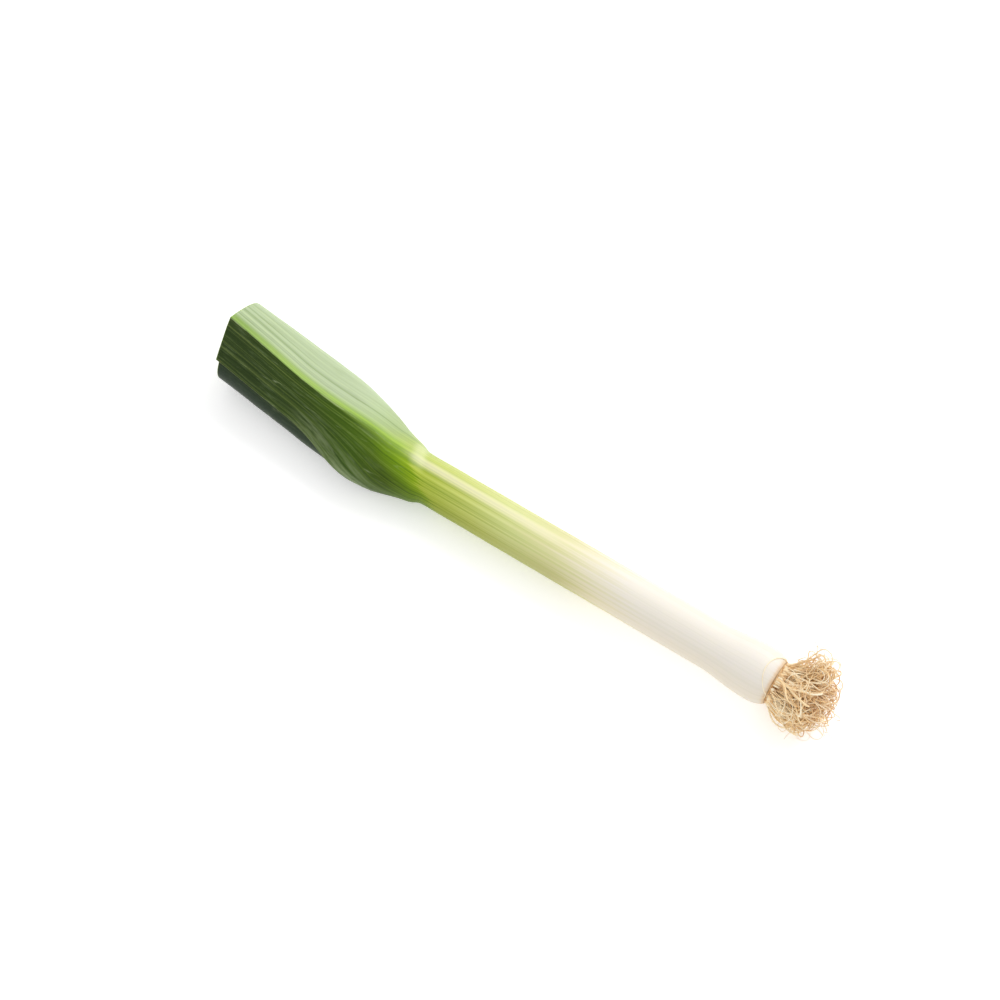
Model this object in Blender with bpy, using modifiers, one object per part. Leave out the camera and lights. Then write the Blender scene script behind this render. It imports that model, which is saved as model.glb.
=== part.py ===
"""A trimmed leek lying on its side, built leaf by leaf.

The leek grows along -X: its roots point to +X and its knife-cut blades to -X. Places along it are
stations, measured from the root plate. Every leaf is one closed solid, a tubular sheath that opens at its
mouth into a keeled blade. Leaves alternate between two ranks, keel up and keel down, each one inside the
leaf before it. All of them follow one outline, which changes from the round shaft to the keeled bundle of
blades, so that nested leaves never meet. Lengths are in metres and angles in radians.
"""

import math
import random

import bmesh
import bpy
from mathutils import Matrix, Vector

# Driving dimensions of the whole leek.
TRIMMED_LENGTH = 0.353  # root plate to the knife cut
SHAFT_RADIUS = 0.0130  # outermost sheath along the straight shaft
BULB_RADIUS = 0.0154  # swelling just above the root plate
BULB_STATION = 0.011
BULB_END = 0.040
PLATE_RADIUS = 0.0112  # rim of the root plate, where the sheaths grow from
COLLAR = 0.219  # where the blades start to leave the shaft
COLLAR_SLANT = 0.005  # sooner than that on the -Y side and later on the +Y side

# The outline of the bundle of blades.
BLADE_HALF_WIDTH = 0.0254
BELLY_DEPTH = BULB_RADIUS / 0.877  # the second leaf then rests level with the bulb
SHOULDER_HEIGHT = 0.0172  # keel above the centre, once the blades have opened
KEEL_HEIGHT = 0.0232  # keel above the centre at the cut
OPENING_LENGTH = 0.062  # the outline widens over this length above the collar
ROUND_POWER = 2.0
KEEL_POWER = 1.40  # under 2 draws the section out to a keel
BELLY_POWER = 2.5  # over 2 flattens the underside
BEND_START = 0.240
SIDE_BEND = 0.0115  # the blades lean to +Y by this much at the cut
LIFT = 0.005  # and rise by this much
KEEL_SWAY = math.radians(8.5)  # the keels lean to -Y part of the way along
SWAY_STATION = 0.292
SWAY_LENGTH = 0.040
CUT_SLANT = 0.0045  # the cut is this much sooner on the -Y side
SLANT_START = 0.250

# The leaves, from the outside in.
WALL = 0.00104
LEAF_PITCH = 0.0016  # from one sheath's outer face to the next one's
MOUTH_START = 0.214  # the first sheath opens here, on the side away from its keel
MOUTH_STEP = 0.009
NOTCH_LENGTH = 0.030
NOTCH_SPREAD = math.radians(118)  # from the keel to each margin, above the notch
NARROWING_LENGTH = 0.060  # beyond the notch, over which the margins reach their last spread
BLADE_SPREADS = (  # that last spread, towards -Y and towards +Y, in degrees
    (60, 82),
    (124, 112),
    (80, 88),
    (112, 106),
    (92, 96),
    (110, 108),
    (112, 112),
)
CUT_SETBACK = (0.0, 0.0007, 0.0011, 0.0026, 0.0006, 0.0018, 0.0010, 0.0022)
SEGMENTS = (20, 20, 18, 16, 14, 12, 12)
HEART_SEGMENTS = 10
SHEATH_STATIONS = (0.0003, 0.0022, 0.0055, 0.011, 0.018, 0.028, 0.040, 0.125)
BLADE_STATIONS = (0.279, 0.292, 0.308, 0.328)

# The root plate and the roots.
TURN_STEPS = 26
PLATE_THICKNESS = 0.0036
CLEARANCE = 0.0003
CLUMP_LENGTH = 0.0210
CLUMP_RADIUS = 0.0142
ROOT_RADIUS = 0.00085
ROOT_POINTS = 7
ROOT_RINGS = (  # angle from the axis, count, reach from the middle of the clump
    (math.radians(14), 4, 0.0180),
    (math.radians(42), 9, 0.0190),
    (math.radians(72), 14, 0.0190),
)
STRAY_ROOTS = (  # angle from the axis, angle round it, reach
    (math.radians(24), math.radians(35), 0.028),
    (math.radians(58), math.radians(-62), 0.025),
    (math.radians(50), math.radians(118), 0.026),
)
ROOT_SEED = 11

COLOURS = {
    "outer_leaf": (0.40, 0.50, 0.18),
    "inner_leaf": (0.62, 0.68, 0.36),
    "heart": (0.80, 0.80, 0.52),
    "plate": (0.66, 0.52, 0.33),
    "roots": (0.70, 0.53, 0.34),
}


def clamped(value):
    return min(1.0, max(0.0, value))


def ease_out(value):
    return 1 - (1 - clamped(value)) ** 2


def smooth(value):
    value = clamped(value)
    return value * value * (3 - 2 * value)


def mix(first, second, share):
    return first + (second - first) * share


def shaft_radius(station):
    """The outermost sheath's radius: a round shoulder at the plate, the bulb, then the straight shaft."""
    if station < BULB_STATION:
        rise = math.sqrt(1 - (1 - clamped(station / BULB_STATION)) ** 2)
        return mix(PLATE_RADIUS, BULB_RADIUS, rise)
    fall = (station - BULB_STATION) / (BULB_END - BULB_STATION)
    return mix(BULB_RADIUS, SHAFT_RADIUS, smooth(fall))


def outline_point(share, angle, station):
    """A point on the outline scaled by share, at an angle from straight up that grows towards +Y."""
    slanted = clamped((station - SLANT_START) / (TRIMMED_LENGTH - SLANT_START))
    station -= CUT_SLANT * clamped(-math.sin(angle)) * slanted
    opened = ease_out((station - COLLAR - COLLAR_SLANT * math.sin(angle)) / OPENING_LENGTH)
    along_blade = clamped((station - COLLAR) / (TRIMMED_LENGTH - COLLAR))
    radius = shaft_radius(station)
    half_width = mix(radius, BLADE_HALF_WIDTH, opened)
    keel = mix(radius, mix(SHOULDER_HEIGHT, KEEL_HEIGHT, along_blade), opened)
    belly = mix(radius, BELLY_DEPTH, opened)
    top_power = mix(ROUND_POWER, KEEL_POWER, smooth(along_blade * 2))
    belly_power = mix(ROUND_POWER, BELLY_POWER, opened)

    power = mix(belly_power, top_power, (1 + math.cos(angle)) / 2)
    height = keel if math.cos(angle) > 0 else belly
    across = abs(math.sin(angle)) / half_width
    upright = abs(math.cos(angle)) / height
    reach = share * (across**power + upright**power) ** (-1 / power)

    bend = clamped((station - BEND_START) / (TRIMMED_LENGTH - BEND_START))
    side = SIDE_BEND * bend * (1.15 - 0.15 * bend)
    lift = LIFT * bend * bend
    sway = KEEL_SWAY * opened * math.exp(-(((station - SWAY_STATION) / SWAY_LENGTH) ** 2))
    turned = angle - sway
    return Vector((-station, side + reach * math.sin(turned), lift + reach * math.cos(turned)))


def leaf_share(index):
    """How far out a leaf's outer face lies, as a share of the outline."""
    return 1 - index * LEAF_PITCH / SHAFT_RADIUS


def margin_spread(index, station, side):
    """The angle from a leaf's keel to its margin on one side: half a turn in the sheath, less beyond."""
    blade_start = mouth_station(index) + NOTCH_LENGTH
    notch = clamped(1 - (blade_start - station) / NOTCH_LENGTH)
    narrowed = ease_out((station - blade_start) / NARROWING_LENGTH)
    spread = mix(NOTCH_SPREAD, math.radians(BLADE_SPREADS[index][side]), narrowed)
    return mix(math.pi, spread, notch)


def mouth_station(index):
    """Where a leaf's sheath starts to open. Each leaf opens a little above the one around it."""
    return MOUTH_START + index * MOUTH_STEP


def leaf_stations(index):
    """Rows from the plate to the leaf's cut. Leaves share them, so that nested walls stay parallel."""
    mouths = [mouth_station(leaf) for leaf in range(len(SEGMENTS))]
    return [*SHEATH_STATIONS, *mouths, *BLADE_STATIONS, TRIMMED_LENGTH - CUT_SETBACK[index]]


def principled(name, roughness=0.45):
    material = bpy.data.materials.new(name)
    material.use_nodes = True
    shader = material.node_tree.nodes["Principled BSDF"]
    shader.inputs["Base Color"].default_value = (*COLOURS[name], 1)
    shader.inputs["Roughness"].default_value = roughness
    shader.inputs["Metallic"].default_value = 0
    return material


def add_object(name, mesh, material, parent, collection):
    made = bpy.data.objects.new(name, mesh)
    made.data.materials.append(material)
    made.parent = parent
    collection.objects.link(made)
    return made


def bridge(mesh, lower, upper):
    """Quads between two rows of the same length. A closed row starts and ends with the same vertex."""
    for left in range(len(lower) - 1):
        mesh.faces.new((lower[left], lower[left + 1], upper[left + 1], upper[left]))


def leaf_angle(index, station, across):
    """The angle from straight up to a place on a leaf, whose margins are at across = -1 and 1."""
    keel_down = index % 2
    side = (across > 0) != bool(keel_down)
    return math.pi * keel_down + across * margin_spread(index, station, side)


def leaf_row(mesh, index, station, segments):
    share = leaf_share(index)
    closed = station <= mouth_station(index)
    columns = range(segments if closed else segments + 1)
    row = [
        mesh.verts.new(outline_point(share, leaf_angle(index, station, 2 * step / segments - 1), station))
        for step in columns
    ]
    return row + row[:1] if closed else row


def build_leaf(index, material, parent, collection):
    """A sheath that opens into a blade, as one surface with a wall thickness."""
    mesh = bmesh.new()
    rows = [leaf_row(mesh, index, station, SEGMENTS[index]) for station in leaf_stations(index)]
    for lower, upper in zip(rows, rows[1:]):
        bridge(mesh, lower, upper)
    data = bpy.data.meshes.new(f"leaf_{index + 1}")
    mesh.to_mesh(data)
    mesh.free()
    data.shade_smooth()
    leaf = add_object(data.name, data, material, parent, collection)
    wall = leaf.modifiers.new("Wall", "SOLIDIFY")
    wall.thickness = WALL
    wall.offset = -1
    wall.use_even_offset = True
    return leaf


def build_heart(index, material, parent, collection):
    """The youngest leaf, still rolled tight: a slim closed rod."""
    mesh = bmesh.new()
    share = leaf_share(index)
    turn = 2 * math.pi / HEART_SEGMENTS
    rows = []
    for station in leaf_stations(index):
        row = [
            mesh.verts.new(outline_point(share, step * turn, station))
            for step in range(HEART_SEGMENTS)
        ]
        rows.append(row + row[:1])
    for lower, upper in zip(rows, rows[1:]):
        bridge(mesh, lower, upper)
    mesh.faces.new(reversed(rows[0][:-1]))
    mesh.faces.new(rows[-1][:-1])
    data = bpy.data.meshes.new("heart_leaf")
    mesh.to_mesh(data)
    mesh.free()
    data.shade_smooth()
    return add_object(data.name, data, material, parent, collection)


def turned(name, profile, material, parent, collection):
    """A solid turned about the leek's axis, from points of (radius, distance from the leaves' feet)."""
    data = bpy.data.meshes.new(name)
    edges = [(point, point + 1) for point in range(len(profile) - 1)]
    data.from_pydata([(radius, 0, along) for radius, along in profile], edges, [])
    made = add_object(name, data, material, parent, collection)
    made.rotation_euler = (0, math.pi / 2, 0)
    turn = made.modifiers.new("Turn", "SCREW")
    turn.steps = TURN_STEPS
    turn.render_steps = TURN_STEPS
    turn.use_merge_vertices = True
    turn.merge_threshold = 0.00001
    return made


def build_plate(material, parent, collection):
    """The short stem disc that the leaves and the roots grow from."""
    profile = (
        (0.0, PLATE_THICKNESS),
        (PLATE_RADIUS * 0.80, PLATE_THICKNESS),
        (PLATE_RADIUS * 0.97, PLATE_THICKNESS * 0.62),
        (PLATE_RADIUS * 0.99, PLATE_THICKNESS * 0.28),
        (PLATE_RADIUS * 0.93, CLEARANCE),
        (0.0, CLEARANCE),
    )
    return turned("basal_plate", profile, material, parent, collection)


def root_path(middle, lean, turn, reach, curl):
    """Points of one root, which bends a little round the axis and lies along the ground if it meets it."""
    ground = ROOT_RADIUS * 1.2 - BULB_RADIUS
    points = []
    for step in range(ROOT_POINTS):
        along = step / (ROOT_POINTS - 1)
        swept = turn + curl * along * along
        out = Vector((math.cos(lean), math.sin(lean) * math.sin(swept), math.sin(lean) * math.cos(swept)))
        point = middle + out * reach * mix(0.2, 1, along)
        point.z = max(point.z, ground)
        points.append(point)
    return points


def root_paths(middle):
    chance = random.Random(ROOT_SEED)
    paths = []
    for lean, count, reach in ROOT_RINGS:
        for number in range(count):
            turn = 2 * math.pi * (number + lean) / count + chance.uniform(-0.08, 0.08)
            length = reach * chance.uniform(0.9, 1.0)
            paths.append(root_path(middle, lean, turn, length, chance.uniform(0.1, 0.3)))
    for lean, turn, reach in STRAY_ROOTS:
        paths.append(root_path(middle, lean, turn, reach, 0.12))
    return paths


def strand_mesh(paths, helpers):
    """The single roots as one mesh of tapered tubes, with their caps welded on."""
    curve = bpy.data.curves.new("root_strands", "CURVE")
    curve.dimensions = "3D"
    curve.bevel_depth = ROOT_RADIUS
    curve.bevel_resolution = 1
    curve.use_fill_caps = True
    for path in paths:
        spline = curve.splines.new("POLY")
        spline.points.add(len(path) - 1)
        for step, point in enumerate(path):
            spline.points[step].co = (*point, 1)
            spline.points[step].radius = mix(1.2, 0.6, step / (len(path) - 1))
    guide = bpy.data.objects.new("root_guides", curve)
    helpers.objects.link(guide)
    bpy.context.view_layer.update()
    graph = bpy.context.evaluated_depsgraph_get()
    strands = bpy.data.meshes.new_from_object(guide.evaluated_get(graph))
    bpy.data.objects.remove(guide)
    welded = bmesh.new()
    welded.from_mesh(strands)
    bmesh.ops.remove_doubles(welded, verts=welded.verts, dist=0.00001)
    welded.to_mesh(strands)
    welded.free()
    return strands


def build_roots(material, parent, collection, helpers):
    """A clump where the roots cross too closely to tell apart, with single roots standing out of it."""
    start = PLATE_THICKNESS + CLEARANCE
    profile = (
        (0.0, start + CLUMP_LENGTH),
        (CLUMP_RADIUS * 0.52, start + CLUMP_LENGTH * 0.94),
        (CLUMP_RADIUS * 0.87, start + CLUMP_LENGTH * 0.76),
        (CLUMP_RADIUS, start + CLUMP_LENGTH * 0.48),
        (CLUMP_RADIUS * 0.93, start + CLUMP_LENGTH * 0.20),
        (CLUMP_RADIUS * 0.72, start),
        (0.0, start),
    )
    roots = turned("roots", profile, material, parent, collection)

    paths = root_paths(Vector((start + CLUMP_LENGTH / 2, 0, 0)))
    cutter = bpy.data.objects.new("root_strands", strand_mesh(paths, helpers))
    cutter.parent = parent
    cutter.hide_render = True
    cutter.display_type = "WIRE"
    helpers.objects.link(cutter)

    union = roots.modifiers.new("Strands", "BOOLEAN")
    union.operation = "UNION"
    union.solver = "EXACT"
    union.use_self = True
    union.object = cutter
    return roots


def stand_on_origin(leek, parts):
    """Moves the leek so that the middle of its bounding box's underside is the origin."""
    bpy.context.view_layer.update()
    graph = bpy.context.evaluated_depsgraph_get()
    corners = []
    for part in parts:
        evaluated = part.evaluated_get(graph)
        corners += [evaluated.matrix_world @ vertex.co for vertex in evaluated.data.vertices]
    low = [min(corner[axis] for corner in corners) for axis in range(3)]
    high = [max(corner[axis] for corner in corners) for axis in range(3)]
    leek.location = (-(low[0] + high[0]) / 2, -(low[1] + high[1]) / 2, -low[2])


def main():
    for obj in list(bpy.data.objects):
        bpy.data.objects.remove(obj)
    collection = bpy.data.collections.new("leek")
    helpers = bpy.data.collections.new("helpers")
    bpy.context.scene.collection.children.link(collection)
    bpy.context.scene.collection.children.link(helpers)
    leek = bpy.data.objects.new("leek_root", None)
    collection.objects.link(leek)

    outer = principled("outer_leaf")
    inner = principled("inner_leaf")
    parts = [
        build_leaf(index, outer if index < 2 else inner, leek, collection)
        for index in range(len(SEGMENTS))
    ]
    parts.append(build_heart(len(SEGMENTS), principled("heart"), leek, collection))
    parts.append(build_plate(principled("plate", 0.8), leek, collection))
    parts.append(build_roots(principled("roots", 0.8), leek, collection, helpers))
    stand_on_origin(leek, parts)


main()
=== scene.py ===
"""Looks of the leek: fine leaves, a tangle of roots, procedural plant materials, soft light.

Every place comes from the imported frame. A place on a leaf is given by its station, the distance from the
root plate along the shaft, and by across, which runs from -1 at one margin over 0 at the keel to 1 at the
other. The leaves follow the same outline as the CAD leaves that they replace. Lengths are in metres.
"""

import math
import random

import bpy
import numpy as np
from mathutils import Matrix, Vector, noise

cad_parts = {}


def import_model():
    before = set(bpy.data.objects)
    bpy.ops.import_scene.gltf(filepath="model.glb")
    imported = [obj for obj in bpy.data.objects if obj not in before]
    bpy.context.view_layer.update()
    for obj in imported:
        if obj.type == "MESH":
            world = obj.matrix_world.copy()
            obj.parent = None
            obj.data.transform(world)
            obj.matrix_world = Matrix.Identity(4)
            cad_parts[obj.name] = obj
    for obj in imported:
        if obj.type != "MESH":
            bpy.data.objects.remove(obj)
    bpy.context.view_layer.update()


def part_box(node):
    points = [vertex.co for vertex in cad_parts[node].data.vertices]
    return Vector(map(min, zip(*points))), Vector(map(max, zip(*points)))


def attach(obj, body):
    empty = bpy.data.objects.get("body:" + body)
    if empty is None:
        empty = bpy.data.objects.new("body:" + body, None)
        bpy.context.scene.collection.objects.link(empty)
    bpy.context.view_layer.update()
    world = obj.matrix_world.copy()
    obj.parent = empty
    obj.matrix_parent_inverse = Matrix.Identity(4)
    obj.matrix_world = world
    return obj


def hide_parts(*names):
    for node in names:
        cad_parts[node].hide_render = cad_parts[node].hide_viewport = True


# Camera.
AZIMUTH = math.radians(33.6)
ELEVATION = math.radians(61.0)
DISTANCE = 1.25
LENS = 83.9
AIM_RIGHT = -0.0149  # from the frame's origin to the middle of the view, in the view's own plane
AIM_UP = 0.0201

# Light.
WORLD_STRENGTH = 0.80
KEY_POWER = 15.0
KEY_SIZE = 1.3
KEY_PLACE = (0.35, 1.25, 1.15)
FLOOR_SIZE = 8.0
FLOOR_GLOW = 0.36  # a lit white table, which keeps the ground white around the shadow

# The leek's outline, as in the CAD.
FOOT = 0.0003
TRIMMED_LENGTH = 0.353
SHAFT_RADIUS = 0.0130
BULB_RADIUS = 0.0154
BULB_STATION = 0.011
BULB_END = 0.040
PLATE_RADIUS = 0.0112
COLLAR = 0.219
COLLAR_SLANT = 0.005
BLADE_HALF_WIDTH = 0.0254
BELLY_DEPTH = BULB_RADIUS / 0.877
SHOULDER_HEIGHT = 0.0172
KEEL_HEIGHT = 0.0232
OPENING_LENGTH = 0.062
ROUND_POWER = 2.0
KEEL_POWER = 1.40
BELLY_POWER = 2.5
BEND_START = 0.240
SIDE_BEND = 0.0115
LIFT = 0.005
KEEL_SWAY = math.radians(8.5)
SWAY_STATION = 0.292
SWAY_LENGTH = 0.040
CUT_SLANT = 0.0045
SLANT_START = 0.250

# The leaves, from the outside in, as in the CAD.
LEAF_COUNT = 7
OUTER_COUNT = 2  # of them show most, so they are modelled finer
LEAF_PITCH = 0.0016
MOUTH_START = 0.214
MOUTH_STEP = 0.009
NOTCH_LENGTH = 0.030
NOTCH_SPREAD = math.radians(118)
NARROWING_LENGTH = 0.060
BLADE_SPREADS = ((60, 82), (124, 112), (80, 88), (112, 106), (92, 96), (110, 108), (112, 112))
CUT_SETBACK = (0.0, 0.0007, 0.0011, 0.0026, 0.0006, 0.0018, 0.0010, 0.0022)

# Fine shape of the leaves. The row counts are for a fineness of 1.
SHAFT_END = 0.195
FOOT_ROWS = 26
SHAFT_ROWS = 16
COLLAR_ROWS = 14
BLADE_ROWS = 90
COLUMN_BUNCHING = 0.55
SHARP_ANGLE = math.radians(50)
OUTER_COLUMNS = 121
INNER_COLUMNS = 61
OUTER_FINENESS = 1.0
INNER_FINENESS = 0.45
HEART_ROWS = 60
HEART_COLUMNS = 28
SHEATH_THICKNESS = 0.0011
BLADE_THICKNESS = 0.0009
MARGIN_THICKNESS = 0.0003
MARGIN_WIDTH = 0.05  # of the half leaf, over which it thins
KEEL_RIB = 0.0005
KEEL_RIB_WIDTH = 0.030  # of the half leaf
COLLAR_RING = 0.00040
COLLAR_RING_WIDTH = 0.0045
COLLAR_RING_OFFSET = 0.004  # from the collar towards the blade
WAVE_HEIGHT = 0.00042
WAVE_SCALE = 38
DENT_HEIGHT = 0.00012
DENT_SCALE = 90
CUT_RIM = 0.0004

# Roots.
PLATE_THICKNESS = 0.0036
PLATE_RIM = 0.0120  # as wide as the outer leaf's foot
TANGLE_MIDDLE = Vector((0.0140, 0.0026, 0.0014))  # from the middle of the root plate
TANGLE_RADIUS = 0.0140
ROOT_SIDES = 6
ROOT_SEED = 5
ROOT_KINDS = (  # count, rim bias, shortest, longest, radius, wander, reach, steps
    (190, 0.45, 0.022, 0.044, 0.00056, 0.95, 1.0, 26),
    (130, 0.40, 0.030, 0.060, 0.00030, 1.7, 1.05, 34),
    (40, 0.30, 0.034, 0.056, 0.00019, 1.5, 1.45, 34),
    (170, 0.06, 0.002, 0.005, 0.00058, 0.7, 1.0, 6),
)
FLOW_SCALES = (60, 170)  # of a root's slow and quick turns, per metre
PULL_BACK = 6.0
TURNING = 0.42
CURLED_ROOT_STEPS = 40
CURLED_ROOT_RADII = (0.00042, 0.00016)
CURLED_ROOT_ANGLES = (50, -74)  # degrees from the top, where it starts and ends
CURLED_ROOT_STATION = 0.0006
CURLED_ROOT_CLIMB = 0.0062
PLATE_RINGS = 12
PLATE_SIDES = 48


def rgb(red, green, blue):
    """A colour as shaders hold it, from its 0 to 255 values on screen."""
    return tuple(
        value / 12.92 if value <= 0.04045 else ((value + 0.055) / 1.055) ** 2.4
        for value in (red / 255, green / 255, blue / 255)
    )


# Leaf colours by station: all leaves are white at the foot. BARE is for the half towards -Y. The KEEL
# colours run along the keel, its lighter green with a painted highlight, and the BLOOM colours are for the
# half towards +Y, which has a pale waxy bloom under a painted reflection of the light.
WHITE_COLOURS = (
    (0.000, rgb(242, 235, 225)),
    (0.090, rgb(242, 235, 222)),
    (0.116, rgb(238, 230, 200)),
    (0.136, rgb(226, 223, 168)),
)
BARE_COLOURS = (
    *WHITE_COLOURS,
    (0.165, rgb(214, 220, 146)),
    (0.190, rgb(200, 208, 112)),
    (0.212, rgb(182, 196, 80)),
    (0.222, rgb(176, 192, 66)),
    (0.226, rgb(142, 172, 22)),
    (0.236, rgb(112, 146, 10)),
    (0.252, rgb(80, 108, 12)),
    (0.270, rgb(66, 94, 8)),
    (0.300, rgb(54, 76, 14)),
    (0.345, rgb(48, 66, 22)),
)
# Pale waxy bloom with a painted reflection of the light, for the +Y half.
BLOOM_AND_REFLECTION_COLOURS = (
    *WHITE_COLOURS,
    (0.165, rgb(222, 226, 158)),
    (0.190, rgb(214, 220, 140)),
    (0.212, rgb(206, 216, 124)),
    (0.236, rgb(184, 204, 122)),
    (0.252, rgb(178, 198, 142)),
    (0.285, rgb(183, 198, 160)),
    (0.345, rgb(178, 194, 154)),
)
# The keel's lighter green with a painted highlight along it.
KEEL_HIGHLIGHT_COLOURS = (
    *WHITE_COLOURS,
    (0.165, rgb(218, 224, 150)),
    (0.190, rgb(206, 214, 118)),
    (0.212, rgb(196, 208, 92)),
    (0.236, rgb(172, 202, 84)),
    (0.252, rgb(160, 192, 82)),
    (0.285, rgb(166, 196, 100)),
    (0.315, rgb(160, 188, 100)),
    (0.345, rgb(140, 170, 86)),
)
HEART_COLOURS = (
    (0.0, rgb(244, 240, 214)),
    (0.2, rgb(236, 234, 170)),
    (0.35, rgb(206, 214, 120)),
)

# Colours laid over those.
STREAK_SHADE = rgb(150, 178, 110)
STREAK_LIGHT = rgb(96, 104, 58)
# Painted shade for the low sides of the white and the green shaft, partly the plant's deeper side colour.
WHITE_PAINTED_SIDE_SHADE = rgb(243, 240, 233)
GREEN_PAINTED_SIDE_SHADE = rgb(212, 210, 192)
# Painted highlight along the top of the green shaft, partly a paler stripe of the plant.
PAINTED_TOP_HIGHLIGHT = rgb(246, 238, 206)
RUBBED = rgb(132, 150, 104)
DUST = rgb(132, 146, 104)
SCRATCH = rgb(186, 200, 152)
SPECK = rgb(96, 66, 34)
CREASE = rgb(238, 240, 196)
KEEL_EDGE = rgb(196, 214, 150)
# Painted shade over the second leaf's blade.
SECOND_BLADE_PAINTED_SHADE = rgb(26, 42, 32)
INNER_FACE = rgb(150, 180, 96)
BROWNED_FOOT = rgb(226, 190, 142)
MARGIN = rgb(150, 168, 110)
DRY = rgb(150, 116, 66)
CUT = rgb(176, 198, 116)
HEART_CUT = rgb(226, 228, 168)

ROOT_DEEP = rgb(252, 220, 166)
ROOT_LIGHT = rgb(255, 244, 216)
ROOT_TIP = rgb(208, 156, 100)
ROOT_START = rgb(204, 150, 92)
ROOT_PATCH = rgb(222, 184, 130)
PLATE_DEEP = rgb(206, 156, 100)
PLATE_LIGHT = rgb(240, 208, 158)


def clamped(values):
    return np.clip(values, 0.0, 1.0)


def ease_out(values):
    return 1 - (1 - clamped(values)) ** 2


def smooth(values):
    values = clamped(values)
    return values * values * (3 - 2 * values)


def mix(first, second, share):
    return first + (second - first) * share


def bell(values):
    return np.exp(-(values**2))


# ---------------------------------------------------------------------------------------------- outline


def shaft_radius(station):
    shoulder = np.sqrt(1 - (1 - clamped(station / BULB_STATION)) ** 2)
    fall = smooth((station - BULB_STATION) / (BULB_END - BULB_STATION))
    above = mix(BULB_RADIUS, SHAFT_RADIUS, fall)
    return np.where(station < BULB_STATION, mix(PLATE_RADIUS, BULB_RADIUS, shoulder), above)


def outline_points(share, angle, station):
    """Points on the outline scaled by share, from the middle of the root plate."""
    slanted = clamped((station - SLANT_START) / (TRIMMED_LENGTH - SLANT_START))
    station = station - CUT_SLANT * clamped(-np.sin(angle)) * slanted
    opened = ease_out((station - COLLAR - COLLAR_SLANT * np.sin(angle)) / OPENING_LENGTH)
    along_blade = clamped((station - COLLAR) / (TRIMMED_LENGTH - COLLAR))
    radius = shaft_radius(station)
    half_width = mix(radius, BLADE_HALF_WIDTH, opened)
    keel = mix(radius, mix(SHOULDER_HEIGHT, KEEL_HEIGHT, along_blade), opened)
    belly = mix(radius, BELLY_DEPTH, opened)
    top_power = mix(ROUND_POWER, KEEL_POWER, smooth(along_blade * 2))
    belly_power = mix(ROUND_POWER, BELLY_POWER, opened)

    power = mix(belly_power, top_power, (1 + np.cos(angle)) / 2)
    height = np.where(np.cos(angle) > 0, keel, belly)
    across = np.abs(np.sin(angle)) / half_width
    upright = np.abs(np.cos(angle)) / height
    reach = share * (across**power + upright**power) ** (-1 / power)

    bend = clamped((station - BEND_START) / (TRIMMED_LENGTH - BEND_START))
    side = SIDE_BEND * bend * (1.15 - 0.15 * bend)
    lift = LIFT * bend * bend
    turned = angle - KEEL_SWAY * opened * bell((station - SWAY_STATION) / SWAY_LENGTH)
    return np.stack([-station, side + reach * np.sin(turned), lift + reach * np.cos(turned)], -1)


def outline_normals(share, angle, station):
    step = 1e-4
    around = outline_points(share, angle + step, station) - outline_points(share, angle - step, station)
    along = outline_points(share, angle, station + step) - outline_points(share, angle, station - step)
    normals = np.cross(around, along)
    return normals / np.linalg.norm(normals, axis=-1, keepdims=True)


# --------------------------------------------------------------------------------------------- leaves


def mouth_station(index):
    return MOUTH_START + index * MOUTH_STEP


def margin_spread(index, station, side):
    """The angle from a leaf's keel to its margin, towards -Y on side 0 and towards +Y on side 1."""
    blade_start = mouth_station(index) + NOTCH_LENGTH
    notch = clamped(1 - (blade_start - station) / NOTCH_LENGTH)
    narrowed = ease_out((station - blade_start) / NARROWING_LENGTH)
    spread = mix(NOTCH_SPREAD, math.radians(BLADE_SPREADS[index][side]), narrowed)
    return mix(math.pi, spread, notch)


def leaf_angles(index, station, across):
    keel_down = index % 2
    minus_y = margin_spread(index, station, 0)
    plus_y = margin_spread(index, station, 1)
    positive, negative = (minus_y, plus_y) if keel_down else (plus_y, minus_y)
    return math.pi * keel_down + across * np.where(across > 0, positive, negative)


def uneven(count, start, stop, closeness):
    """Rising values from start to stop, closer together at both ends."""
    even = np.linspace(-1, 1, count)
    bunched = np.sin(even * math.pi / 2)
    return mix(start, stop, (mix(even, bunched, closeness) + 1) / 2)


def leaf_stations(index, fineness):
    """Rows of a leaf. One falls on its mouth, and the last two are a rim's width apart at the cut."""
    mouth = mouth_station(index)
    cut = TRIMMED_LENGTH - CUT_SETBACK[index]
    foot = uneven(int(FOOT_ROWS * fineness), FOOT, BULB_END, 0.8)
    shaft = np.linspace(BULB_END, SHAFT_END, int(SHAFT_ROWS * fineness) + 2)[1:-1]
    collar = np.linspace(SHAFT_END, mouth, int(COLLAR_ROWS * fineness) + 2)
    blade = np.linspace(mouth, cut - CUT_RIM, int(BLADE_ROWS * fineness) + 2)[1:]
    return np.concatenate([foot, shaft, collar, blade, [cut]])


def field(points, scale, seed):
    """Smooth noise from -1 to 1 at each point of an array of points."""
    shape = points.shape[:-1]
    offset = Vector((seed * 7.1, seed * 3.3, seed * 5.7))
    values = [noise.noise(Vector(point) * scale + offset) for point in points.reshape(-1, 3)]
    return np.array(values).reshape(shape)


def relief(index, station, across, angle, points):
    """How far a leaf's outer face stands off the plain outline."""
    in_blade = smooth((station - COLLAR) / 0.04)
    rib = KEEL_RIB * in_blade * bell(across / KEEL_RIB_WIDTH)
    if index >= OUTER_COUNT:
        return rib
    collar_line = COLLAR + COLLAR_RING_OFFSET + COLLAR_SLANT * np.sin(angle)
    near_side = clamped(-np.sin(angle))
    ring = COLLAR_RING * (1 + 1.2 * near_side) * bell((station - collar_line) / COLLAR_RING_WIDTH)
    waves = WAVE_HEIGHT * in_blade * field(points * (1.0, 1.6, 1.6), WAVE_SCALE, index + 1)
    dents = DENT_HEIGHT * field(points, DENT_SCALE, index + 4)
    return rib + (ring if index == 0 else 0) + waves + dents


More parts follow.
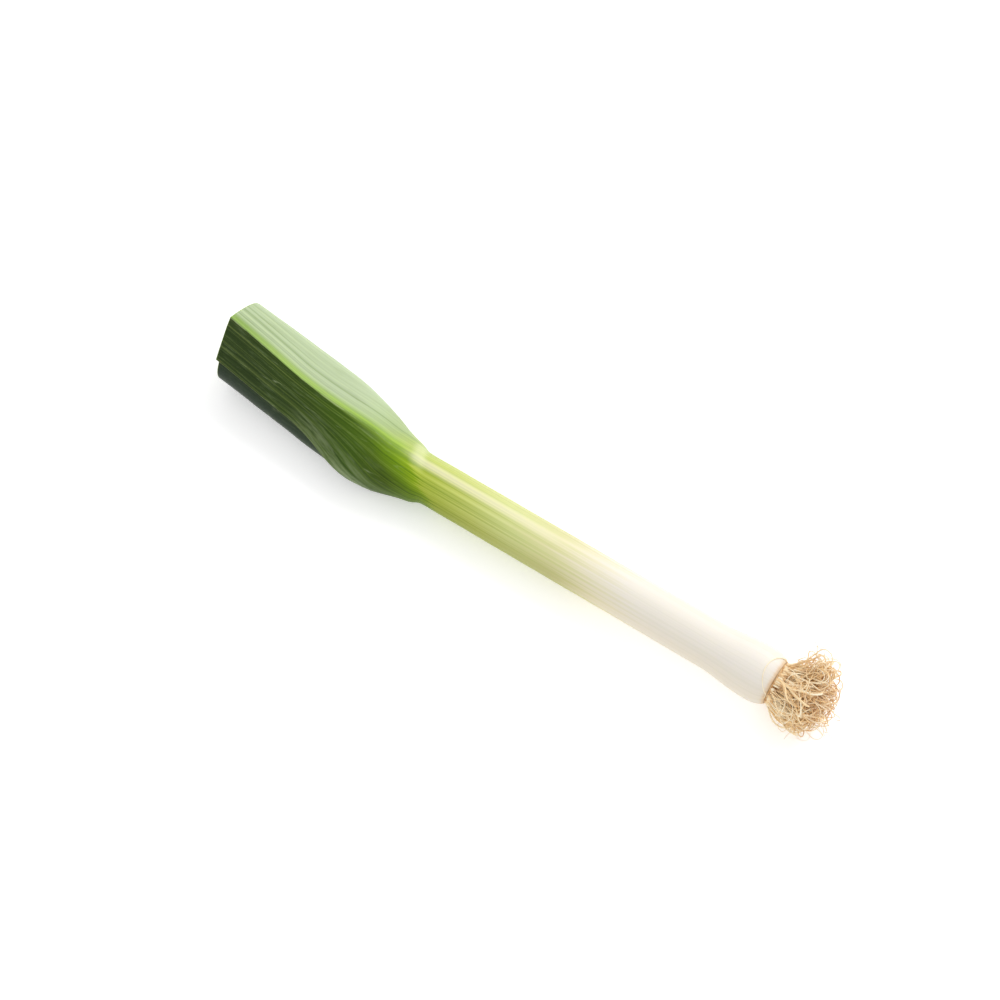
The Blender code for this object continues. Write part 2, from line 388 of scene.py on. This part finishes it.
def grid_faces(outer, inner, mouth_row):
    """Faces of a closed wall between two grids of vertex numbers that open along a seam from mouth_row."""
    faces = []
    rows, columns = len(outer), len(outer[0])
    for row in range(rows - 1):
        for column in range(columns - 1):
            low, high = outer[row], outer[row + 1]
            faces.append((low[column], low[column + 1], high[column + 1], high[column]))
            low, high = inner[row], inner[row + 1]
            faces.append((low[column + 1], low[column], high[column], high[column + 1]))
    for column in range(columns - 1):
        faces.append((outer[0][column + 1], outer[0][column], inner[0][column], inner[0][column + 1]))
        last_outer, last_inner = outer[-1], inner[-1]
        faces.append(
            (last_outer[column], last_outer[column + 1], last_inner[column + 1], last_inner[column])
        )
    for row in range(mouth_row, rows - 1):
        faces.append((outer[row][0], outer[row + 1][0], inner[row + 1][0], inner[row][0]))
        faces.append((outer[row + 1][-1], outer[row][-1], inner[row][-1], inner[row + 1][-1]))
    return [[corner for at, corner in enumerate(f) if corner != f[at - 1]] for f in faces]


def set_values(mesh, name, values):
    layer = mesh.attributes.new(name, "FLOAT", "POINT")
    layer.data.foreach_set("value", np.asarray(values, np.float32).ravel())


def make_object(name, points, faces, material, values):
    mesh = bpy.data.meshes.new(name)
    points[:, 2] = np.maximum(points[:, 2], 0)  # nothing reaches below the surface it lies on
    mesh.from_pydata(points.tolist(), [], faces)
    mesh.validate()
    for key, numbers in values.items():
        set_values(mesh, key, numbers)
    mesh.shade_smooth()
    mesh.set_sharp_from_angle(angle=SHARP_ANGLE)
    made = bpy.data.objects.new(name, mesh)
    mesh.materials.append(material)
    bpy.context.scene.collection.objects.link(made)
    return made


def leaf_share(index):
    """The size of a leaf's outline as a share of the outermost one."""
    return 1 - index * LEAF_PITCH / SHAFT_RADIUS


def is_open(index, station):
    return station > mouth_station(index) + 1e-6


def widths_to_margin(index, station, across):
    """The distance to a leaf's margin in margin widths. A closed sheath has no margin near it."""
    return np.where(is_open(index, station), (1 - np.abs(across)) / MARGIN_WIDTH, 9)


def leaf_walls(index, station, across):
    """Points of a leaf's outer and inner faces."""
    share = leaf_share(index)
    angle = leaf_angles(index, station, across)
    base = outline_points(share, angle, station)
    normals = outline_normals(share, angle, station)
    in_blade = smooth((station - COLLAR) / 0.03)
    thickness = mix(SHEATH_THICKNESS, BLADE_THICKNESS, in_blade)
    thickness = mix(MARGIN_THICKNESS, thickness, ease_out(widths_to_margin(index, station, across)))
    raised = relief(index, station, across, angle, base)
    return base + normals * raised[..., None], base - normals * thickness[..., None]


def leaf_values(index, station, across):
    """What the leaf's material needs to know at each point of one face."""
    at_margin = bell(widths_to_margin(index, station, across) / 0.22)
    margin = np.where(is_open(index, station), at_margin, 0)
    at_cut = np.zeros_like(station)
    at_cut[-1] = 1
    angle = leaf_angles(index, station, across)
    return {
        "station": station - COLLAR_SLANT * np.sin(angle) * bell((station - COLLAR) / 0.03),
        "across": across,
        "margin": margin,
        "dry": margin * bell((station - mouth_station(index)) / 0.016),
        "cut": at_cut,
    }


def leaf_numbers(index, stations, columns):
    """Vertex numbers of both faces. Below the mouth the last column is the first: the sheath is closed."""
    rows = len(stations)
    mouth_row = int(np.argmin(np.abs(stations - mouth_station(index))))
    outer = np.arange(rows * columns).reshape(rows, columns)
    outer[: mouth_row + 1, -1] = outer[: mouth_row + 1, 0]
    return outer, outer + rows * columns, mouth_row


def build_leaf(index, centre, material, fineness, columns):
    stations = leaf_stations(index, fineness)
    across_row = uneven(columns, -1, 1, COLUMN_BUNCHING)
    across_row[columns // 2] = 0
    station, across = np.meshgrid(stations, across_row, indexing="ij")
    outer, inner = leaf_walls(index, station, across)
    points = np.concatenate([outer.reshape(-1, 3), inner.reshape(-1, 3)]) + np.array(centre)

    outer_numbers, inner_numbers, mouth_row = leaf_numbers(index, stations, columns)
    faces = grid_faces(outer_numbers.tolist(), inner_numbers.tolist(), mouth_row)
    used = np.unique(np.concatenate([outer_numbers.ravel(), inner_numbers.ravel()]))
    renumber = np.zeros(len(points), int)
    renumber[used] = np.arange(len(used))
    faces = [[int(renumber[corner]) for corner in face] for face in faces]

    values = leaf_values(index, station, across)
    values = {key: np.concatenate([v.ravel(), v.ravel()])[used] for key, v in values.items()}
    values["inside"] = (used >= station.size).astype(float)
    return make_object(f"leaf_{index + 1}_skin", points[used], faces, material, values)


def build_heart(index, centre, material):
    """The youngest leaf, rolled into a closed rod."""
    cut = TRIMMED_LENGTH - CUT_SETBACK[index]
    stations = np.append(np.linspace(FOOT, cut - CUT_RIM, HEART_ROWS), cut)
    turns = np.linspace(0, 2 * math.pi, HEART_COLUMNS, endpoint=False)
    station, angle = np.meshgrid(stations, turns, indexing="ij")
    points = outline_points(leaf_share(index), angle, station)
    numbers = np.arange(points.shape[0] * HEART_COLUMNS).reshape(-1, HEART_COLUMNS)
    numbers = np.concatenate([numbers, numbers[:, :1]], 1).tolist()
    faces = [
        (low[column], low[column + 1], high[column + 1], high[column])
        for low, high in zip(numbers, numbers[1:])
        for column in range(HEART_COLUMNS)
    ]
    faces.append(tuple(reversed(numbers[0][:-1])))
    faces.append(tuple(numbers[-1][:-1]))
    at_cut = np.zeros_like(station)
    at_cut[-1] = 1
    values = {"station": station, "across": angle / math.pi - 1, "cut": at_cut}
    points = points.reshape(-1, 3) + np.array(centre)
    return make_object("heart_leaf_skin", points, faces, material, values)


# ---------------------------------------------------------------------------------------------- roots


def tube(path, radii, sides):
    """Vertices and faces of a tapered tube along a path, closed with a flat cap at each end."""
    points, faces = [], []
    side = Vector((0.31, 0.77, 0.55))
    for at, centre in enumerate(path):
        ahead = path[min(at + 1, len(path) - 1)] - path[max(at - 1, 0)]
        ahead.normalize()
        side = side - ahead * side.dot(ahead)
        side.normalize()
        other = ahead.cross(side)
        for corner in range(sides):
            turn = 2 * math.pi * corner / sides
            points.append(centre + (side * math.cos(turn) + other * math.sin(turn)) * radii[at])
    for ring in range(len(path) - 1):
        for corner in range(sides):
            after = (corner + 1) % sides
            low, high = ring * sides, (ring + 1) * sides
            faces.append((low + corner, low + after, high + after, high + corner))
    faces.append(tuple(reversed(range(sides))))
    faces.append(tuple((len(path) - 1) * sides + corner for corner in range(sides)))
    return points, faces


def wandering_path(chance, start, heading, length, steps, wander, reach, middle, ground):
    """A root that follows a shared flow, turns back inside the tangle, and stays off the ground."""
    own = Vector([chance.uniform(-9, 9) for _ in range(3)])
    slow, quick = FLOW_SCALES
    here = start.copy()
    path = [here.copy()]
    stride = length / steps
    for step in range(steps):
        along = step / steps
        flow = noise.noise_vector(here * slow + own * 0.05) + noise.noise_vector(here * quick + own) * 0.9
        outside = (here - middle).length / (TANGLE_RADIUS * reach) - 1
        back = (middle - here).normalized() * max(0, outside) * PULL_BACK * along
        heading = (heading + (flow * wander + back) * (0.15 + along) * TURNING).normalized()
        here = here + heading * stride
        if here.z < ground:
            here.z = ground
            heading.z = abs(heading.z) * 0.3
        path.append(here.copy())
    return path


def root_start(chance, centre, rim_bias):
    """A place on the root plate's face, and the way a root leaves it there."""
    turn = chance.uniform(0, 2 * math.pi)
    out = chance.random() ** rim_bias
    radial = Vector((0, math.sin(turn), math.cos(turn)))
    start = centre + radial * PLATE_RIM * 0.98 * out
    start.x += mix(PLATE_THICKNESS * 0.9, 0.0008, out**4)
    heading = Vector((1, 0, 0)) + radial * out * chance.uniform(0.0, 0.95)
    return start, heading.normalized()


def bulb_hugging_path(centre):
    """The one root that curls back over the white foot of the leek."""
    path = []
    for step in range(CURLED_ROOT_STEPS + 1):
        along = step / CURLED_ROOT_STEPS
        station = CURLED_ROOT_CLIMB * math.sin(math.pi * min(1, along * 1.12)) + CURLED_ROOT_STATION
        angle = math.radians(mix(*CURLED_ROOT_ANGLES, along))
        point = outline_points(1.0, np.array(angle), np.array(station))
        away = outline_normals(1.0, np.array(angle), np.array(station))
        path.append(centre + Vector(point) + Vector(away) * 0.0002)
    return path


def gather(parts, points, faces, along, tone):
    first = len(parts["points"])
    parts["points"].extend(tuple(point) for point in points)
    parts["faces"].extend(tuple(first + corner for corner in face) for face in faces)
    parts["along"].extend(along)
    parts["tone"].extend([tone] * len(points))


def add_strand(parts, chance, centre, middle, kind):
    """One root of a kind, with its own start, way, length and thickness."""
    _, rim_bias, shortest, longest, radius, wander, reach, steps = kind
    start, heading = root_start(chance, centre, rim_bias)
    length = chance.uniform(shortest, longest)
    own_reach = reach * chance.uniform(0.85, 1.2)
    ground = radius * 1.3
    path = wandering_path(chance, start, heading, length, steps, wander, own_reach, middle, ground)
    thick = radius * chance.uniform(0.75, 1.25)
    radii = [thick * mix(1.0, 0.35, (at / steps) ** 1.5) for at in range(steps + 1)]
    points, faces = tube(path, radii, ROOT_SIDES)
    along = [at / steps for at in range(steps + 1) for _ in range(ROOT_SIDES)]
    gather(parts, points, faces, along, chance.random())


def add_curled_root(parts, centre):
    path = bulb_hugging_path(centre)
    radii = [mix(*CURLED_ROOT_RADII, at / len(path)) for at in range(len(path))]
    points, faces = tube(path, radii, ROOT_SIDES)
    gather(parts, points, faces, [0.2] * len(points), 1.0)


def build_roots(centre, material):
    chance = random.Random(ROOT_SEED)
    noise.seed_set(ROOT_SEED)  # noise vectors follow the clock otherwise
    middle = centre + TANGLE_MIDDLE
    parts = {"points": [], "faces": [], "along": [], "tone": []}
    for kind in ROOT_KINDS:
        for _ in range(kind[0]):
            add_strand(parts, chance, centre, middle, kind)
    add_curled_root(parts, centre)
    values = {"along": parts["along"], "tone": parts["tone"]}
    return make_object("root_tangle", np.array(parts["points"]), parts["faces"], material, values)


def build_plate(centre, material):
    """The root plate: a low bumpy dome that the roots hide most of."""
    points, faces = [], []
    for ring in range(PLATE_RINGS + 1):
        slope = math.pi / 2 * ring / PLATE_RINGS
        out = math.sin(slope)
        lift = PLATE_THICKNESS * math.cos(slope) * 0.95
        for corner in range(PLATE_SIDES):
            turn = 2 * math.pi * corner / PLATE_SIDES
            radial = Vector((0, math.sin(turn), math.cos(turn)))
            point = centre + radial * PLATE_RIM * out + Vector((lift - 0.0001, 0, 0))
            point.x += 0.0006 * (1 - out) * noise.noise(point * 900)
            points.append(tuple(point))
    for ring in range(PLATE_RINGS):
        for corner in range(PLATE_SIDES):
            after = (corner + 1) % PLATE_SIDES
            low, high = ring * PLATE_SIDES, (ring + 1) * PLATE_SIDES
            faces.append((low + corner, low + after, high + after, high + corner))
    faces.append(tuple(PLATE_RINGS * PLATE_SIDES + corner for corner in range(PLATE_SIDES)))
    return make_object("root_plate", np.array(points), faces, material, {})


# ------------------------------------------------------------------------------------------ materials
# In the leaf materials, limits on station are metres from the root plate, and limits on across are shares
# of the half leaf.


class Shading:
    """Adds nodes to one material and joins them."""

    def __init__(self, name):
        self.material = bpy.data.materials.new(name)
        self.material.use_nodes = True
        self.tree = self.material.node_tree
        self.shader = self.tree.nodes["Principled BSDF"]

    def put(self, socket, value):
        if isinstance(value, bpy.types.NodeSocket):
            self.tree.links.new(value, socket)
        elif isinstance(value, tuple) and len(value) == 3 and socket.type == "RGBA":
            socket.default_value = (*value, 1)
        else:
            socket.default_value = value

    def node(self, kind, inputs=(), **settings):
        made = self.tree.nodes.new(kind)
        for key, value in settings.items():
            setattr(made, key, value)
        for key, value in dict(inputs).items():
            self.put(made.inputs[key], value)
        return made

    def attribute(self, name):
        return self.node("ShaderNodeAttribute", attribute_name=name).outputs["Fac"]

    def math(self, operation, first, second=0.0):
        return self.node("ShaderNodeMath", {0: first, 1: second}, operation=operation).outputs[0]

    def times(self, first, *others):
        for other in others:
            first = self.math("MULTIPLY", first, other)
        return first

    def plus(self, first, *others):
        for other in others:
            first = self.math("ADD", first, other)
        return first

    def magnitude(self, value):
        return self.math("ABSOLUTE", value)

    def away(self, value, centre):
        """How far a value is from a centre, to either side."""
        return self.magnitude(self.math("SUBTRACT", value, centre))

    def ranged(self, value, low, high, to_low=0.0, to_high=1.0, kind="SMOOTHSTEP"):
        """Maps low..high to to_low..to_high. Values beyond them stay at the nearer end."""
        inputs = {"Value": value, "From Min": low, "From Max": high, "To Min": to_low, "To Max": to_high}
        return self.node("ShaderNodeMapRange", inputs, interpolation_type=kind).outputs[0]

    def blend(self, share, first, second, how="MIX"):
        made = self.node("ShaderNodeMix", data_type="RGBA", blend_type=how)
        self.put(made.inputs[0], share)
        self.put(made.inputs[6], first)
        self.put(made.inputs[7], second)
        return made.outputs[2]

    def vector(self, x, y, z=0.0):
        return self.node("ShaderNodeCombineXYZ", {0: x, 1: y, 2: z}).outputs[0]

    def noise(self, vector, scale, detail=2.0, roughness=0.5):
        inputs = {"Vector": vector, "Scale": scale, "Detail": detail, "Roughness": roughness}
        return self.node("ShaderNodeTexNoise", inputs).outputs["Fac"]

    def ramp(self, value, stops, length):
        made = self.node("ShaderNodeValToRGB", {"Fac": self.math("DIVIDE", value, length)})
        elements = made.color_ramp.elements
        elements[0].position = stops[0][0] / length
        elements[0].color = (*stops[0][1], 1)
        elements[1].position = stops[-1][0] / length
        elements[1].color = (*stops[-1][1], 1)
        for place, colour in stops[1:-1]:
            elements.new(place / length).color = (*colour, 1)
        return made.outputs[0]

    def finish(self, **inputs):
        for key, value in inputs.items():
            self.put(self.shader.inputs[key.replace("_", " ")], value)
        return self.material


def leaf_veins(s, station, across, index):
    """Noise drawn out along the leaf, in broad bands, veins and hair-fine lines, each about 0 on average."""
    drawn = s.times(station, 4.0)
    found = []
    for count, offset, detail in ((9.0, 0.3, 1.0), (25.0, 0.0, 1.0), (58.0, 0.7, 2.0)):
        lines = s.noise(s.vector(s.times(across, count), drawn, index + offset), 1.0, detail)
        found.append(s.math("SUBTRACT", lines, 0.5))
    return found


def leaf_colour(s, station, across, streaks, index):
    """The plant's colour, greener on the sides than on top and streaked, with a painted highlight along the
    keel and a painted reflection over the bloom on one half.
    """
    sideways = s.ranged(s.magnitude(across), 0.12, 0.46, 0.0, 0.016)
    sway = s.times(streaks, s.ranged(station, 0.10, 0.20, 0.10, 0.05))
    sway = s.times(sway, s.ranged(station, 0.218, 0.232, 1.0, 0.4))
    shifted = s.math("SUBTRACT", s.plus(station, sideways, sway), 0.010 * index)
    bare = s.ramp(shifted, BARE_COLOURS, TRIMMED_LENGTH)
    if index > 0:
        return bare
    # Painted highlight along the keel, and a painted reflection over the bloom of the +Y half.
    keel = s.ramp(shifted, KEEL_HIGHLIGHT_COLOURS, TRIMMED_LENGTH)
    bloom_and_reflection = s.ramp(shifted, BLOOM_AND_REFLECTION_COLOURS, TRIMMED_LENGTH)
    softness = s.ranged(station, 0.30, 0.235, 0.006, 0.10)
    over_keel = s.ranged(across, s.times(softness, -1.0), softness, kind="LINEAR")
    colour = s.blend(over_keel, bare, keel)
    ragged = s.plus(across, s.times(streaks, 0.12))
    return s.blend(s.ranged(ragged, 0.07, 0.20), colour, bloom_and_reflection)


def with_streaks(s, colour, station, streaks):
    """Darker and lighter lines, weak in the white foot and strong in the blade."""
    depth = s.ranged(station, 0.120, 0.240, 0.10, 1.0)
    dark = s.times(s.ranged(streaks, -0.01, 0.11, 0.0, 0.55), depth)
    colour = s.blend(dark, colour, STREAK_SHADE, "MULTIPLY")
    light = s.times(s.ranged(streaks, -0.02, -0.12, 0.0, 0.5), depth)
    return s.blend(light, colour, STREAK_LIGHT, "ADD")


def with_painted_side_shade(s, colour, station, across):
    """Painted shade low on the shaft's sides, partly a deeper colour of the plant there."""
    plus_y = s.math("MAXIMUM", s.ranged(across, 0.08, 0.24, 0.0, 0.35), s.ranged(across, 0.40, 0.70))
    below = s.math("MAXIMUM", s.ranged(across, -0.16, -0.46), plus_y)
    below = s.times(below, s.ranged(station, 0.262, 0.235))
    shade = s.blend(s.ranged(station, 0.095, 0.135), WHITE_PAINTED_SIDE_SHADE, GREEN_PAINTED_SIDE_SHADE)
    return s.blend(below, colour, s.blend(1.0, colour, shade, "MULTIPLY"))


def with_painted_top_highlight(s, colour, station, across):
    """A painted highlight along the top of the green shaft, partly a paler stripe of the plant, which ends
    at the collar.
    """
    pale = s.ranged(s.away(across, 0.04), 0.11, 0.01, 0.0, 0.62)
    pale = s.times(pale, s.ranged(station, 0.115, 0.145), s.ranged(station, 0.236, 0.214))
    return s.blend(pale, colour, PAINTED_TOP_HIGHLIGHT)


def with_wear(s, colour, station, across, smudge, in_blade):
    """Rubbed bloom, dust by the -Y margin, hairline scratches and a few brown specks on the blade."""
    rubbed = s.times(s.ranged(smudge, 0.50, 0.72, 0.0, 0.34), in_blade)
    colour = s.blend(rubbed, colour, RUBBED)
    by_margin = s.times(s.ranged(across, -0.45, -0.95), s.ranged(station, 0.315, 0.270))
    dusty = s.times(by_margin, in_blade, s.ranged(smudge, 0.38, 0.62, 0.0, 0.7))
    colour = s.blend(dusty, colour, DUST)

    slanted = s.plus(s.times(across, 5.0), s.times(station, 30.0))
    hairs = s.noise(s.vector(slanted, s.times(station, 6.0), 5.0), 1.0, 0.0)
    hair = s.ranged(s.away(hairs, 0.56), 0.008, 0.002)
    scratched = s.times(hair, in_blade, s.ranged(smudge, 0.45, 0.60, 0.0, 0.30))
    colour = s.blend(scratched, colour, SCRATCH)

    specks = s.noise(s.vector(s.times(across, 46.0), s.times(station, 620.0), 2.0), 1.0, 1.0)
    speckled = s.times(s.ranged(specks, 0.79, 0.83, 0.0, 0.6), in_blade)
    return s.blend(speckled, colour, SPECK)


def with_crease_and_keel(s, colour, station, across, lines, smudge, in_blade):
    """The pale crease at the outer leaf's collar, and the worn edge of its keel."""
    _, veins, _ = lines
    wavy = s.math("SUBTRACT", station, s.times(veins, 0.004))
    crease = s.ranged(s.away(wavy, 0.2225), 0.0065, 0.0010)
    on_top = s.times(s.ranged(across, -0.14, 0.04, 0.0, 0.40), s.ranged(across, 0.24, 0.42, 1.0, 0.3))
    colour = s.blend(s.times(crease, on_top), colour, CREASE)
    edge = s.ranged(s.magnitude(s.plus(across, s.times(veins, 0.06))), 0.022, 0.004)
    edge = s.times(edge, s.ranged(smudge, 0.44, 0.58, 0.0, 0.45), in_blade)
    return s.blend(edge, colour, KEEL_EDGE)


def with_edges(s, colour, station, fine):
    """The inner face, the browned foot, the margins, the dry rim of the mouth and the cut."""
    colour = s.blend(s.times(s.attribute("inside"), 0.45), colour, INNER_FACE)
    foot = s.plus(s.ranged(station, 0.0030, 0.0003, 0.0, 0.7), s.times(fine, 0.8))
    foot = s.times(foot, s.ranged(station, 0.0045, 0.0005))
    colour = s.blend(foot, colour, BROWNED_FOOT)
    colour = s.blend(s.times(s.attribute("margin"), 0.30), colour, MARGIN)
    colour = s.blend(s.times(s.attribute("dry"), 0.8), colour, DRY)
    return s.blend(s.times(s.attribute("cut"), 0.75), colour, CUT)


def leaf_material(index):
    """White foot, streaked green shaft, veined blade with bloom under a painted reflection, scratches and a
    few brown specks.
    """
    s = Shading(f"leaf_{index + 1}_skin")
    station = s.attribute("station")
    across = s.attribute("across")
    in_blade = s.ranged(station, 0.222, 0.250)
    lines = leaf_veins(s, station, across, index)
    bands, veins, fine = lines
    streaks = s.plus(s.times(bands, 0.28), s.times(veins, 0.40), s.times(fine, 0.36))
    smudge = s.noise(s.vector(s.times(across, 12.0), s.times(station, 34.0), 8.0), 1.0, 5.0, 0.7)

    colour = leaf_colour(s, station, across, streaks, index)
    colour = with_streaks(s, colour, station, streaks)
    # Painted shade low on the shaft's sides.
    colour = with_painted_side_shade(s, colour, station, across)
    # Painted highlight along the top of the outer leaf's shaft.
    if index == 0:
        colour = with_painted_top_highlight(s, colour, station, across)
    colour = with_wear(s, colour, station, across, smudge, in_blade)
    if index == 0:
        colour = with_crease_and_keel(s, colour, station, across, lines, smudge, in_blade)
    # Painted shade darkens the second leaf's blade.
    if index == 1:
        colour = s.blend(s.times(in_blade, 0.72), colour, SECOND_BLADE_PAINTED_SHADE)
    colour = with_edges(s, colour, station, fine)

    ribs = s.plus(s.times(veins, 0.6), s.times(fine, 0.4))
    ribs = s.times(ribs, s.ranged(station, 0.09, 0.23, 0.25, 1.0))
    bump = s.node("ShaderNodeBump", {"Height": ribs, "Distance": 0.0005, "Strength": 0.3})
    return s.finish(
        Base_Color=colour,
        Roughness=0.42,
        Specular_IOR_Level=0.16,
        Normal=bump.outputs[0],
        Subsurface_Weight=0.10,
        Subsurface_Radius=(0.6, 0.5, 0.25),
        Subsurface_Scale=0.004,
    )


def heart_material():
    s = Shading("heart_leaf_skin")
    station = s.attribute("station")
    veins = s.noise(s.vector(s.times(s.attribute("across"), 20.0), s.times(station, 9.0)), 1.0, 3.0)
    colour = s.ramp(s.plus(station, s.times(veins, 0.03)), HEART_COLOURS, TRIMMED_LENGTH)
    colour = s.blend(s.times(s.attribute("cut"), 0.7), colour, HEART_CUT)
    bump = s.node("ShaderNodeBump", {"Height": veins, "Distance": 0.0005, "Strength": 0.3})
    return s.finish(Base_Color=colour, Roughness=0.42, Normal=bump.outputs[0])


def root_material():
    """Cream strands, browner at their ends, each a little different."""
    s = Shading("root_tangle")
    place = s.node("ShaderNodeTexCoord").outputs["Object"]
    patches = s.noise(place, 420.0, 3.0)
    along = s.attribute("along")
    colour = s.blend(s.attribute("tone"), ROOT_DEEP, ROOT_LIGHT)
    colour = s.blend(s.ranged(along, 0.5, 1.0, 0.0, 0.75), colour, ROOT_TIP)
    colour = s.blend(s.ranged(along, 0.08, 0.0, 0.0, 0.6), colour, ROOT_START)
    colour = s.blend(s.ranged(patches, 0.5, 0.75, 0.0, 0.30), colour, ROOT_PATCH)
    bump = s.node("ShaderNodeBump", {"Height": patches, "Distance": 0.0003, "Strength": 0.4})
    return s.finish(Base_Color=colour, Roughness=0.62, Normal=bump.outputs[0])


def plate_material():
    s = Shading("root_plate")
    place = s.node("ShaderNodeTexCoord").outputs["Object"]
    grain = s.noise(place, 500.0, 4.0)
    colour = s.blend(s.ranged(grain, 0.35, 0.65), PLATE_DEEP, PLATE_LIGHT)
    bump = s.node("ShaderNodeBump", {"Height": grain, "Distance": 0.0006, "Strength": 0.6})
    return s.finish(Base_Color=colour, Roughness=0.75, Normal=bump.outputs[0])


# ---------------------------------------------------------------------------------------------- stage


def view_axes():
    """The directions from the object towards the camera, to the view's right, and up the view."""
    flat = math.cos(ELEVATION)
    back = Vector((math.sin(AZIMUTH) * flat, -math.cos(AZIMUTH) * flat, math.sin(ELEVATION)))
    right = Vector((math.cos(AZIMUTH), math.sin(AZIMUTH), 0))
    return back, right, back.cross(right)


def add_camera():
    back, right, up = view_axes()
    data = bpy.data.cameras.new("camera")
    data.lens = LENS
    camera = bpy.data.objects.new("camera", data)
    camera.location = back * DISTANCE + right * AIM_RIGHT + up * AIM_UP
    camera.rotation_euler = back.to_track_quat("Z", "Y").to_euler()
    bpy.context.scene.collection.objects.link(camera)
    bpy.context.scene.camera = camera


def add_lights():
    world = bpy.data.worlds.new("studio")
    world.use_nodes = True
    world.node_tree.nodes["Background"].inputs["Color"].default_value = (1, 1, 1, 1)
    world.node_tree.nodes["Background"].inputs["Strength"].default_value = WORLD_STRENGTH
    bpy.context.scene.world = world
    data = bpy.data.lights.new("key", "AREA")
    data.size = KEY_SIZE
    data.energy = KEY_POWER
    key = bpy.data.objects.new("key", data)
    key.location = KEY_PLACE
    key.rotation_euler = Vector(KEY_PLACE).to_track_quat("Z", "Y").to_euler()
    bpy.context.scene.collection.objects.link(key)


def add_floor():
    s = Shading("floor")
    half = FLOOR_SIZE / 2
    mesh = bpy.data.meshes.new("floor")
    corners = [(-half, -half, 0), (half, -half, 0), (half, half, 0), (-half, half, 0)]
    mesh.from_pydata(corners, [], [(0, 1, 2, 3)])
    mesh.materials.append(
        s.finish(
            Base_Color=(0.93, 0.93, 0.93),
            Roughness=0.9,
            Specular_IOR_Level=0.0,
            Emission_Color=(1.0, 1.0, 1.0),
            Emission_Strength=FLOOR_GLOW,
        )
    )
    floor = bpy.data.objects.new("floor", mesh)
    bpy.context.scene.collection.objects.link(floor)


def dress(piece, node):
    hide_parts(node)
    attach(piece, "root")


def plate_centre():
    """The point on the shaft's axis where stations start, at the root plate."""
    plate_low, plate_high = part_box("basal_plate")
    foot_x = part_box("leaf_1")[1][0] + FOOT
    return Vector((foot_x, (plate_low[1] + plate_high[1]) / 2, (plate_low[2] + plate_high[2]) / 2))


def build_leek():
    centre = plate_centre()
    for index in range(LEAF_COUNT):
        is_outer = index < OUTER_COUNT
        fineness = OUTER_FINENESS if is_outer else INNER_FINENESS
        columns = OUTER_COLUMNS if is_outer else INNER_COLUMNS
        leaf = build_leaf(index, centre, leaf_material(index), fineness, columns)
        dress(leaf, f"leaf_{index + 1}")
    dress(build_heart(LEAF_COUNT, centre, heart_material()), "heart_leaf")
    dress(build_plate(centre, plate_material()), "basal_plate")
    dress(build_roots(centre, root_material()), "roots")


def main():
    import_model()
    bpy.context.scene.view_settings.view_transform = "Standard"
    add_camera()
    add_lights()
    add_floor()
    build_leek()


main()
